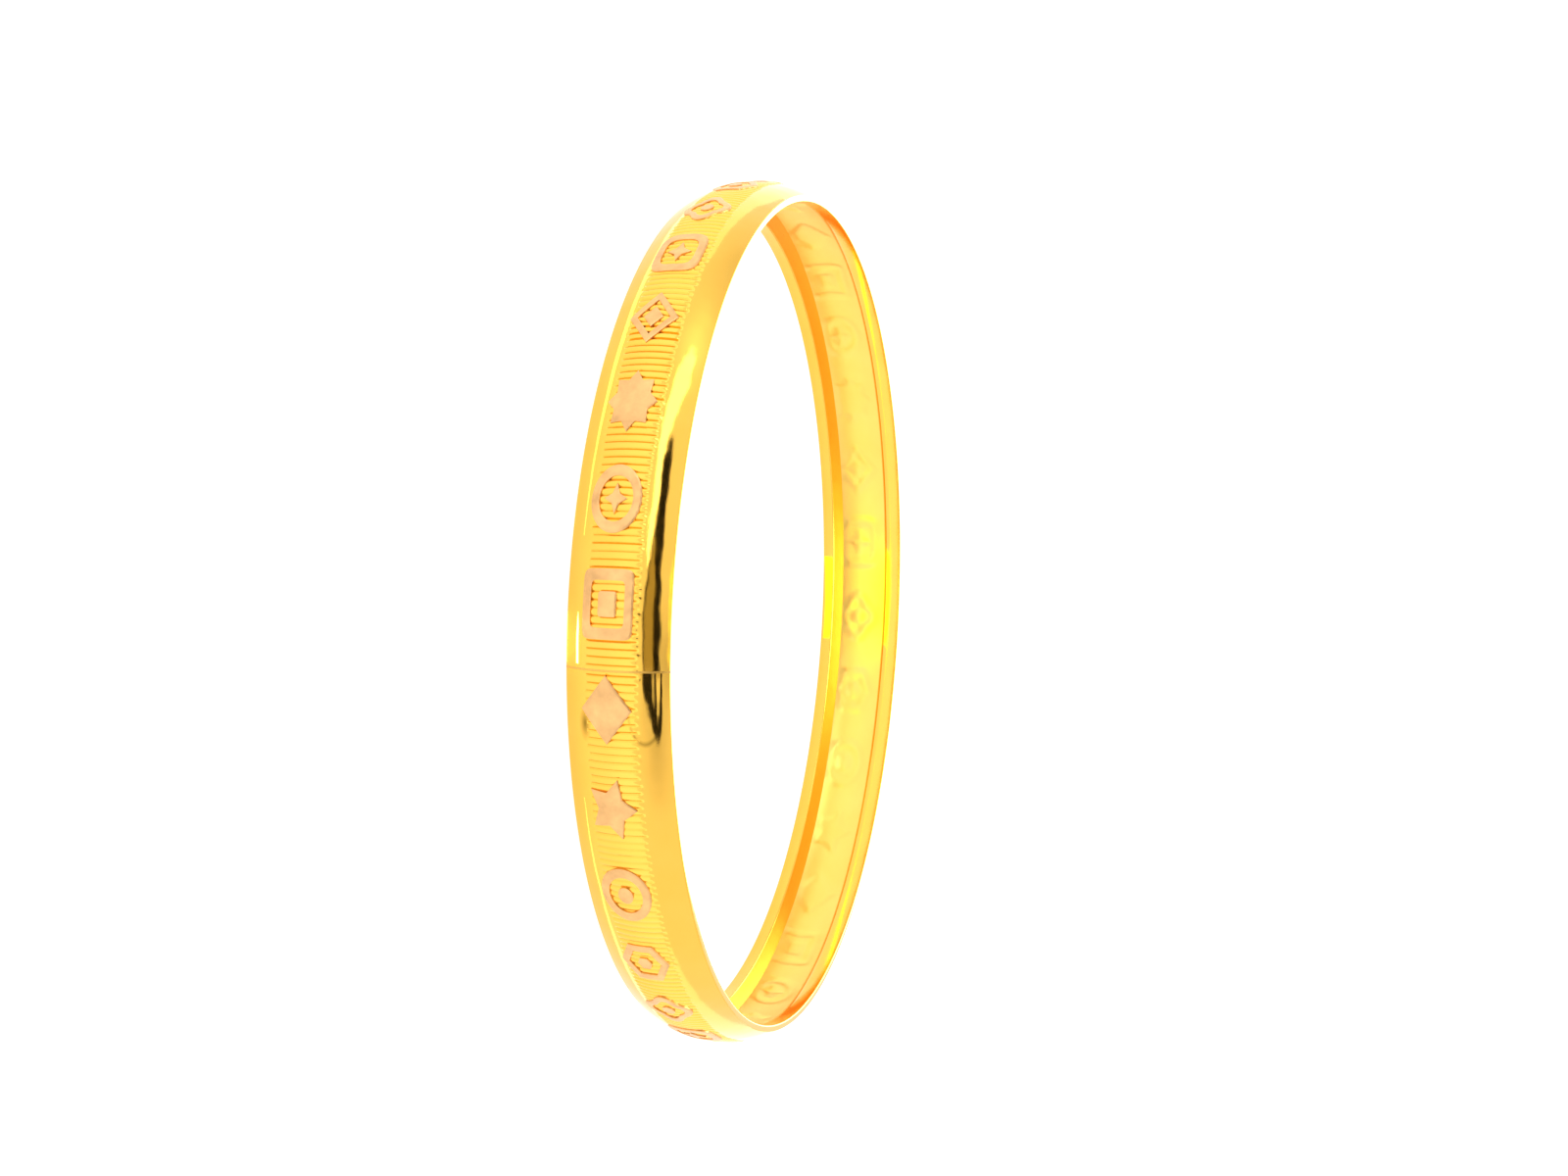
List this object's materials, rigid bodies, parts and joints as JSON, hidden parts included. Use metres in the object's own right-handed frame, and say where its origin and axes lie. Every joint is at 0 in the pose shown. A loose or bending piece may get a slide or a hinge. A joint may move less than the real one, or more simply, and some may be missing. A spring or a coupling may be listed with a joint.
{
  "type": "bangle bracelet",
  "caption": "Rigid round bangle bracelet: a low domed pressed-gold strip with a finely ribbed centre, flat rims, an open channel back and an open wrist opening.",
  "frame": {"origin": "middle of the circle that the lower rim rests on, on the bangle's axis", "axes": "+Z along the bangle's axis, from the lower rim to the upper rim; -Y points towards the side of the bangle next to its closing joint, which lies 7.5 degrees from -Y towards +X"},
  "size_m": [0.0598, 0.0598, 0.0065],
  "materials": {
    "strip_gold": "polished",
    "edge_gold": "polished",
    "solder_gold": "satin"
  },
  "bodies": {
    "root": {"face_strip": "strip_gold", "upper_edge_ring": "edge_gold", "lower_edge_ring": "edge_gold", "closing_joint": "solder_gold"}
  },
  "joints": []
}
